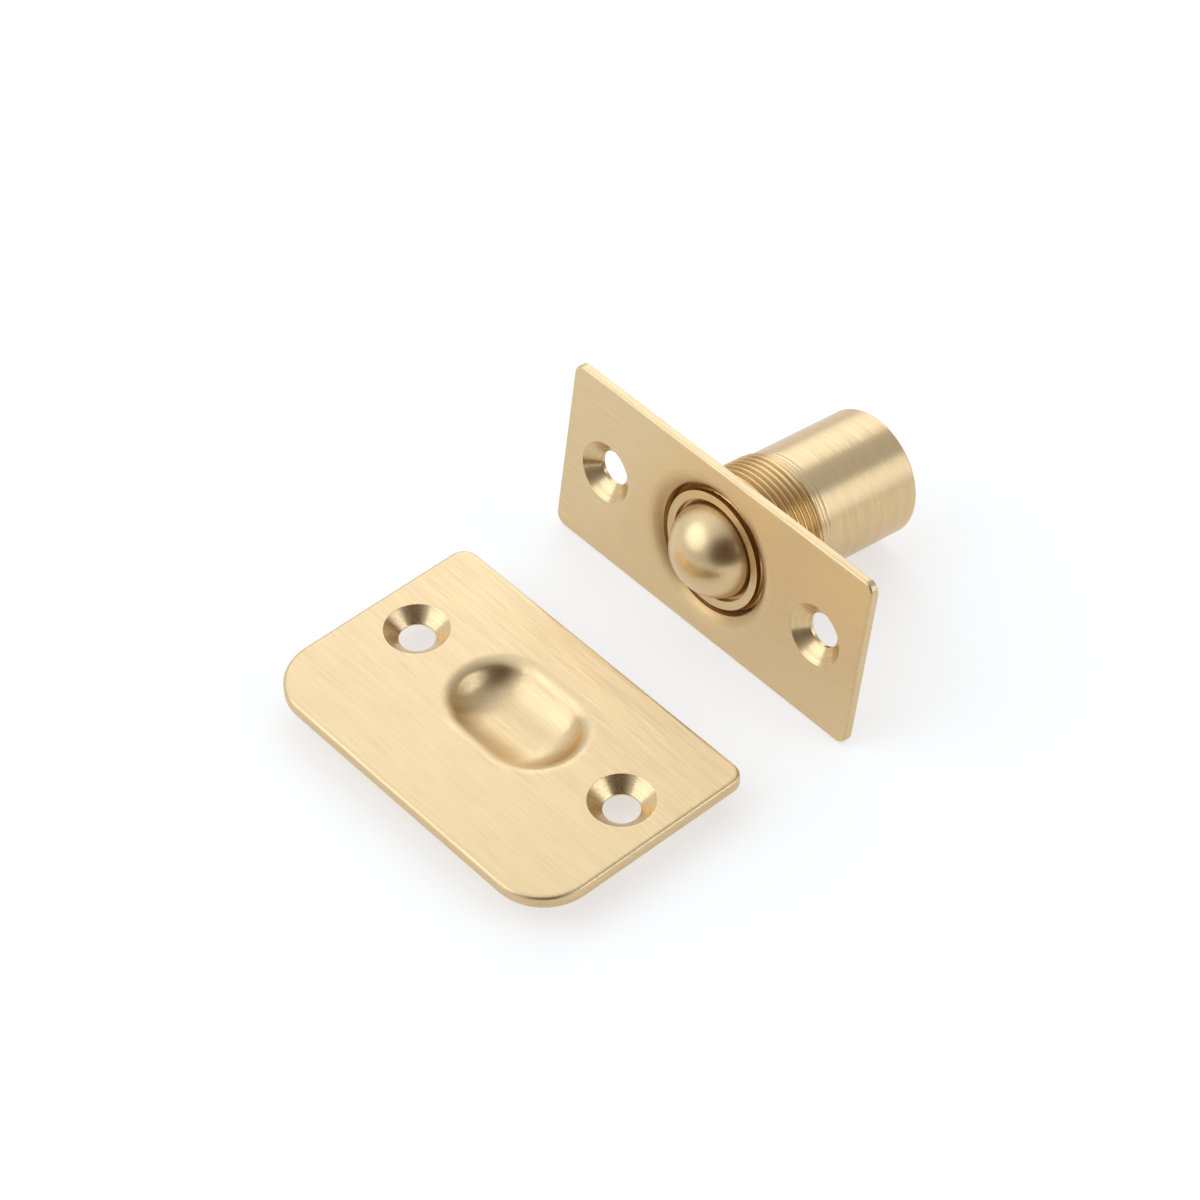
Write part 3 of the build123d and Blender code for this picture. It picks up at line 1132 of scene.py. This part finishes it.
        # Radii of the painted shade in the thread's valleys.
        full, end = self.painted_shade
        shade_radii = (self.root + full, self.crest - end)
        thread = MetalFinish("cut_thread", TURNED_BRASS, (0.2, 0.3), Grain.ROUND_AXIS, 0.001, 0.05, 0.5)
        return [
            # Painted shade darkens the gap round the ball.
            replace(TURNED, painted_shade=PAINTED_SHADE_BRASS, shade_radii=self.shade_reach),
            # Painted shade darkens the thread's valleys.
            replace(thread, painted_shade=THREAD_SHADE_BRASS, shade_radii=shade_radii),
        ]


@dataclass
class Ball(Piece):
    """Ball in the barrel's mouth.

    Attributes:
        radius: The ball's radius.
        cuts: How often each edge of the cube that it is made of is divided.
    """

    radius: float = 6.5
    cuts: int = 23

    def mesh(self) -> BMesh:
        """Builds the ball from a divided cube, so that it has no poles."""
        bm = bmesh.new()
        bmesh.ops.create_cube(bm, size=2.0)
        bmesh.ops.subdivide_edges(bm, edges=bm.edges, cuts=self.cuts, use_grid_fill=True)
        for vert in bm.verts:
            even = Vector([math.tan(c * math.pi / 4.0) for c in vert.co])
            vert.co = even.normalized() * self.radius
        bmesh.ops.translate(bm, vec=(0.0, 0.0, -BALL_CENTRE), verts=bm.verts)
        return bm

    def finishes(self) -> list[MetalFinish]:
        """Satin brass."""
        return [MetalFinish("satin_ball", BRASS, (0.27, 0.35), Grain.TUMBLED, 0.0015, 0.06)]


@dataclass
class BallSeat(Piece):
    """Cup behind the ball, with a spigot that centres the spring.

    Attributes:
        cup: Radius of the cup, round the ball's centre.
        rim: How far behind the ball's centre the cup's rim lies.
        radius: Outer radius.
        spigot: Radius of the spigot.
        spigot_length: Length of the spigot.
        chamfer: Width of the chamfers.
    """

    cup: float = 6.6
    rim: float = 3.2
    radius: float = 6.5
    spigot: float = 4.3
    spigot_length: float = 2.6
    chamfer: float = 0.2

    def mesh(self) -> BMesh:
        """Builds the cup by spinning its section."""
        bm = bmesh.new()
        edge = math.degrees(math.asin(self.rim / self.cup))
        end = -SEAT_SHOULDER - self.spigot_length
        outline = Outline(bm, 0.0, -BALL_CENTRE - self.cup)
        outline.arc(0.0, -BALL_CENTRE, 90.0 - edge, 24)
        outline.lines(
            (self.radius, -BALL_CENTRE - self.rim),
            (self.radius, -SEAT_SHOULDER + self.chamfer, 0.1),
            (self.radius - self.chamfer, -SEAT_SHOULDER),
            (self.spigot, -SEAT_SHOULDER, 0.1),
            (self.spigot, end + self.chamfer, 0.1),
            (self.spigot - self.chamfer, end),
            (0.0, end),
        )
        outline.spin_round(HOLE_STEPS)
        return bm

    def finishes(self) -> list[MetalFinish]:
        """Turned brass."""
        seat = replace(TURNED, name="turned_seat", roughness=(0.26, 0.4))
        return [replace(seat, relief=0.003, shade=0.1, stretch=0.6)]


@dataclass
class RearPlug(Piece):
    """Disc that closes the barrel, with a spigot that centres the spring.

    Attributes:
        radius: Radius of the disc.
        back: Depth of its back.
        spigot: Radius of the spigot.
        spigot_length: Length of the spigot.
        chamfer: Width of the spigot's chamfer and radius of the disc's edge.
    """

    radius: float = 7.2
    back: float = 27.8
    spigot: float = 4.3
    spigot_length: float = 1.6
    chamfer: float = 0.2

    def mesh(self) -> BMesh:
        """Builds the disc by spinning its section."""
        bm = bmesh.new()
        end = -PLUG_FRONT + self.spigot_length
        outline = Outline(bm, 0.0, end)
        outline.lines(
            (self.spigot - self.chamfer, end, 0.1),
            (self.spigot, end - self.chamfer),
            (self.spigot, -PLUG_FRONT, 0.1),
            (self.radius, -PLUG_FRONT, 0.1),
            (self.radius, -self.back + self.chamfer, 0.1),
        )
        outline.arc(self.radius - self.chamfer, -self.back + self.chamfer, -90.0, 4)
        outline.line(0.0, -self.back, hold=0.1)
        outline.spin_round(ROUND_STEPS)
        return bm

    def finishes(self) -> list[MetalFinish]:
        """Turned brass."""
        plug = replace(TURNED, name="turned_plug", roughness=(0.24, 0.38))
        return [replace(plug, relief=0.004, shade=0.12, stretch=0.6)]


@dataclass
class Spring(Piece):
    """Compression spring with ends ground flat.

    Attributes:
        coil: Radius of the coil.
        wire: Radius of the wire.
        turns: Number of turns.
        low: Height of the end that stands on the plug.
        high: Height of the end that carries the seat.
        steps: How many straight runs make a turn.
    """

    coil: float = 5.4
    wire: float = 0.55
    turns: float = 7.5
    low: float = -PLUG_FRONT
    high: float = -SEAT_SHOULDER
    steps: int = 48

    def mesh(self) -> BMesh:
        """Screws the wire's round section along the coil and grinds both ends."""
        bm = bmesh.new()
        section = bmesh.ops.create_circle(bm, cap_ends=False, segments=12, radius=self.wire)["verts"]
        place = Matrix.Translation((self.coil, 0.0, self.low)) @ Matrix.Rotation(math.pi / 2.0, 4, "X")
        bmesh.ops.transform(bm, matrix=place, verts=section)
        count = round(self.steps * self.turns)
        rise = (self.high - self.low) / count
        spin(bm, [*bm.verts, *bm.edges], math.tau * self.turns, count, rise=rise)
        bmesh.ops.holes_fill(bm, edges=[e for e in bm.edges if e.is_boundary], sides=0)
        for height, outwards in ((self.low, -1.0), (self.high, 1.0)):
            bmesh.ops.holes_fill(bm, edges=slice_at(bm, height, outwards), sides=0)
        return bm

    def finishes(self) -> list[MetalFinish]:
        """Drawn steel wire."""
        return [MetalFinish("spring_wire", SPRING_STEEL, (0.25, 0.4), Grain.TUMBLED, 0.002, 0.15)]


# Studio


def direction(azimuth: float, elevation: float) -> Vector:
    """The unit vector at an azimuth from X towards Y and an elevation, both in degrees."""
    return Matrix.Rotation(math.radians(azimuth), 3, "Z") @ Vector(
        (math.cos(math.radians(elevation)), 0.0, math.sin(math.radians(elevation)))
    )


@dataclass(frozen=True)
class SoftBox:
    """A soft oval lamp that faces the object.

    Attributes:
        name: The lamp's name.
        azimuth: Degrees from X towards Y.
        elevation: Degrees above the floor.
        size: Width and height in metres.
        radiance: How bright its surface is, where 1 is white.
        distance: Metres from the object.
        colour: Its colour, a little cooler than white.
    """

    name: str
    azimuth: float
    elevation: float
    size: Pair
    radiance: float
    distance: float = 0.6
    colour: Triple = (0.93, 1.0, 1.12)

    def make(self, target: Vector) -> None:
        """Hangs the lamp so that it faces a point."""
        lamp = bpy.data.lights.new(self.name, "AREA")
        lamp.shape = "ELLIPSE"
        lamp.size, lamp.size_y = self.size
        lamp.energy = self.radiance * self.size[0] * self.size[1] * math.pi**2 / 4.0
        lamp.color = self.colour
        obj = new_object(self.name, lamp)
        out = direction(self.azimuth, self.elevation)
        obj.location = target + out * self.distance
        obj.rotation_mode = "QUATERNION"
        obj.rotation_quaternion = out.to_track_quat("Z", "Y")
        obj.visible_camera = False


@dataclass(frozen=True)
class SkyPatch:
    """A soft round patch of the sky.

    Attributes:
        azimuth: Degrees of its middle from X towards Y.
        elevation: Degrees of its middle above the floor.
        core: How far its even core reaches from the middle, in degrees.
        edge: How far its soft edge reaches, in degrees.
        levels: The level outside it and in its core.
    """

    azimuth: float
    elevation: float
    core: float
    edge: float
    levels: Pair

    def level(self, nodes: Nodes, ahead: NodeSocket) -> NodeSocket:
        """Draws the patch.

        Args:
            nodes: The world's nodes.
            ahead: The way that is looked.

        Returns:
            The level in that way.
        """
        toward = nodes.add("ShaderNodeVectorMath", operation="DOT_PRODUCT")
        nodes.put(toward, 0, ahead)
        nodes.put(toward, 1, direction(self.azimuth, self.elevation))
        core, edge = (math.cos(math.radians(angle)) for angle in (self.core, self.edge))
        return nodes.spread(toward.outputs["Value"], edge, core, self.levels)


@dataclass
class Studio:
    """Floor, world, lamps and camera.

    Attributes:
        eye: Where the camera stands, in millimetres.
        view: The way it looks.
        right: The picture's way to the right.
        focal: Focal length in the picture's pixels.
        picture: Width of the picture in pixels.
        sensor: Width of the camera's sensor in millimetres.
        boxes: The lamps.
        target: Where the lamps point, in millimetres.
        paper: The floor's colour.
        lift: How much brighter the floor is to the eye than its own light makes it.
        sky: Colour of the walls and the ceiling.
        dusk: Colour of the side that the camera stands on.
        bright: The patch where the walls are brightest, as their strength.
        dark: The patch where they are dusk, as its share.
    """

    eye: Triple = (267.543, -239.744, 387.94)
    view: Triple = (-0.52104, 0.45291, -0.72346)
    right: Triple = (0.6658, 0.74603, -0.01248)
    focal: float = 4243.8
    picture: float = 1200.0
    sensor: float = 36.0
    boxes: tuple[SoftBox, ...] = (
        SoftBox("key_left", -124.0, 35.0, (0.66, 0.52), 1.12),
        SoftBox("back_left", 131.0, 31.0, (0.35, 0.25), 1.05, 0.35),
        SoftBox("back_right", 27.0, 26.0, (0.51, 0.46), 1.5),
    )
    target: Triple = (0.0, 0.0, 10.0)
    paper: Triple = (0.46, 0.455, 0.44)
    lift: float = 0.57
    sky: Triple = (0.95, 1.0, 1.08)
    dusk: Triple = (0.15, 0.086, 0.037)
    bright: SkyPatch = SkyPatch(-175.0, 46.0, 15.0, 62.0, (0.66, 1.17))
    dark: SkyPatch = SkyPatch(-31.0, 28.0, 29.0, 43.0, (0.0, 1.0))

    def camera(self) -> None:
        """Sets up the camera as the photograph was taken."""
        data = bpy.data.cameras.new("camera")
        data.sensor_width = self.sensor
        data.lens = self.focal / self.picture * data.sensor_width
        data.clip_start, data.clip_end = 0.01, 50.0
        obj = new_object("camera", data)
        back = -Vector(self.view).normalized()
        right = (Vector(self.right) - Vector(self.right).project(back)).normalized()
        turn = Matrix((right, back.cross(right), back)).transposed()
        obj.matrix_world = Matrix.Translation(Vector(self.eye) * MM) @ turn.to_4x4()
        bpy.context.scene.camera = obj

    def seen_directly(self, nodes: Nodes) -> NodeSocket:
        """1 for the camera's rays and for mirrored and refracted ones, 0 for light on things."""
        path = nodes.add("ShaderNodeLightPath")
        seen = nodes.math("MAXIMUM", path.outputs["Is Camera Ray"], path.outputs["Is Glossy Ray"])
        return nodes.math("MAXIMUM", seen, path.outputs["Is Transmission Ray"])

    def floor(self) -> None:
        """Lays a pale floor that shows white where nothing shades it."""
        bm = bmesh.new()
        bmesh.ops.create_grid(bm, x_segments=8, y_segments=8, size=4.0)
        data = to_data("floor", bm)
        material = bpy.data.materials.new("pale_floor")
        material.use_nodes = True
        nodes = Nodes(material.node_tree)
        paper = nodes.add("ShaderNodeBsdfDiffuse")
        nodes.put(paper, "Color", (*self.paper, 1.0))
        lift = nodes.add("ShaderNodeEmission")
        nodes.put(lift, "Color", (1.0, 1.0, 1.0, 1.0))
        nodes.put(lift, "Strength", nodes.math("MULTIPLY", self.seen_directly(nodes), self.lift))
        together = nodes.add("ShaderNodeAddShader")
        nodes.put(together, 0, paper.outputs[0])
        nodes.put(together, 1, lift.outputs[0])
        nodes.end("ShaderNodeOutputMaterial", together.outputs[0])
        data.materials.append(material)
        obj = new_object("floor", data)

    def world(self) -> None:
        """Fill light that is brightest on the left and dark on the side that the camera stands on."""
        world = bpy.data.worlds.new("studio")
        bpy.context.scene.world = world
        world.use_nodes = True
        nodes = Nodes(world.node_tree)
        ahead = nodes.add("ShaderNodeTexCoord").outputs["Generated"]
        light = nodes.add("ShaderNodeBackground")
        nodes.put(light, "Color", nodes.blend(self.dark.level(nodes, ahead), self.sky, self.dusk))
        nodes.put(light, "Strength", self.bright.level(nodes, ahead))
        nodes.end("ShaderNodeOutputWorld", light.outputs[0])

    def make(self) -> None:
        """Sets up the whole studio."""
        bpy.context.scene.view_settings.view_transform = "Standard"
        for box in self.boxes:
            box.make(Vector(self.target) * MM)
        self.floor()
        self.world()
        self.camera()


def strike_place() -> Matrix:
    """Where the strike plate's own frame lies, from its CAD box."""
    low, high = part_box("strike_plate")
    middle = (low + high) / 2.0
    return Matrix.Translation((middle.x, middle.y, 0.0))


def catch_place(joints: Iterable[dict]) -> Matrix:
    """Where the catch's own frame lies, from the barrel's joint.

    Args:
        joints: The record's joints.

    Returns:
        The frame whose Z points out of the door's edge, from the centre of the plate's front.
    """
    turn = next(j for j in joints if j["name"] == "barrel_turn")
    forward = Vector(turn["axis"]).normalized()
    across = Vector((1.0, 0.0, 0.0))
    place = Matrix((across, forward.cross(across), forward)).transposed().to_4x4()
    place.translation = Vector(turn["pos_m"]) + forward * BARREL_STEP * MM
    return place


def main() -> None:
    """Builds the studio and every piece."""
    logging.basicConfig(level=logging.INFO, format="%(name)s: %(message)s")
    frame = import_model()
    Studio().make()
    strike = strike_place()
    catch = catch_place(frame["joints"])
    StrikePlate("strike_plate_dressed", "strike_plate", "plates", "plate_brass", strike).make()
    FacePlate("face_plate_dressed", "face_plate", "plates", "plate_brass", catch).make()
    Barrel("barrel_dressed", "barrel", "barrel", "turned_brass", catch).make()
    Ball("ball_dressed", "ball", "ball", "ball_brass", catch).make()
    BallSeat("ball_seat_dressed", "ball_seat", "follower", "turned_brass", catch).make()
    RearPlug("rear_plug_dressed", "rear_plug", "barrel", "turned_brass", catch).make()
    spring = Spring("spring_dressed", "spring", "carriage", "spring_steel", catch).make()
    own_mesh(spring)


if __name__ == "__main__":
    main()
